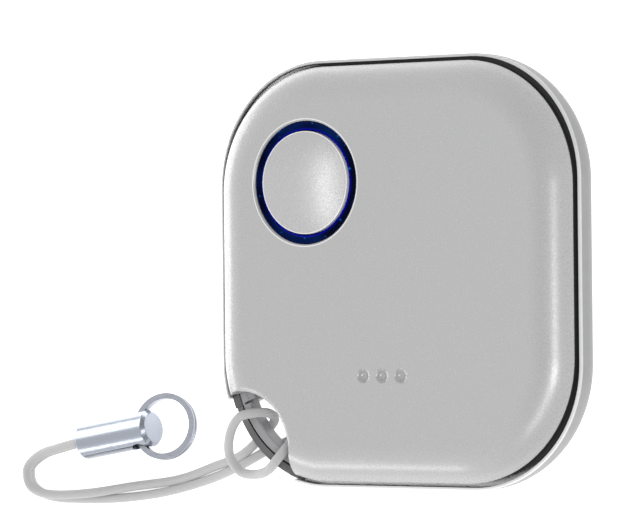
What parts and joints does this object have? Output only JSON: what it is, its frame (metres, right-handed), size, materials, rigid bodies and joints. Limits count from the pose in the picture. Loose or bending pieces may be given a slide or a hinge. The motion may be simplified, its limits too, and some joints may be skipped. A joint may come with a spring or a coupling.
{
  "type": "smart button",
  "caption": "Thin rounded-square wireless push button with a lit ring round its cap, a strap bar in one notched corner and a thin wrist-strap loop with a split ring.",
  "frame": {"origin": "centre of the flat back, on the surface it lies on", "axes": "+Z out of the face, +Y towards the face's top edge, +X to the face's right; the strap notch is at -X -Y"},
  "size_m": [0.0598, 0.0378, 0.0061],
  "materials": {
    "rear_plastic": "satin",
    "front_lacquer": "satin metallic",
    "bar_plastic": "satin",
    "gasket_rubber": "matte",
    "blue_guide": "gloss",
    "board": "satin",
    "black_moulding": "matte",
    "spring_metal": "satin",
    "tin": "satin",
    "ceramic": "gloss",
    "cell_steel": "satin",
    "cell_fill": "satin",
    "sounder_brass": "satin",
    "cord": "matte",
    "ferrule_steel": "polished"
  },
  "bodies": {
    "base": {"rear_shell": "rear_plastic", "strap_bar": "bar_plastic", "seam_gasket": "gasket_rubber", "strap_cord": "cord", "strap_ferrule": "ferrule_steel"},
    "front": {"front_shell": "front_lacquer", "light_ring": "blue_guide", "switch_base": "black_moulding", "switch_dome": "spring_metal", "switch_frame": "tin", "pcb": "board", "radio_module": "tin", "aerial": "ceramic", "crystal": "tin", "ring_lights": "ceramic", "capacitors": "ceramic", "resistors": "black_moulding", "cell_can": "cell_steel", "cell_seal": "black_moulding", "cell_cap": "cell_fill", "cell_holder": "black_moulding", "positive_contact": "spring_metal", "negative_contact": "spring_metal", "sounder_plate": "sounder_brass", "sounder_ceramic": "ceramic"},
    "button": {"button_cap": "front_lacquer"},
    "plunger": {"switch_plunger": "black_moulding"},
    "ring": {"split_ring": "ferrule_steel"}
  },
  "joints": [
    {"name": "front_off", "type": "slide", "parent": "base", "child": "front", "axis": [0, 0, 1], "range_m": [0, 0.01]},
    {"name": "button_press", "type": "slide", "parent": "front", "child": "button", "axis": [0, 0, -1], "range_m": [0, 0.0003], "stiffness_N_per_m": 2000, "springref_m": -0.0005},
    {"name": "plunger_press", "type": "slide", "parent": "front", "child": "plunger", "axis": [0, 0, -1], "range_m": [0, 0.0003]},
    {"name": "ring_swing", "type": "hinge", "parent": "base", "child": "ring", "pos_m": [-0.02829, -0.01333, 0.0016], "axis": [0.1652, -0.9764, 0.1392], "range_deg": [0, 75]}
  ],
  "couplings": [
    {"joint": "plunger_press", "follows": "button_press", "ratio": 1}
  ]
}
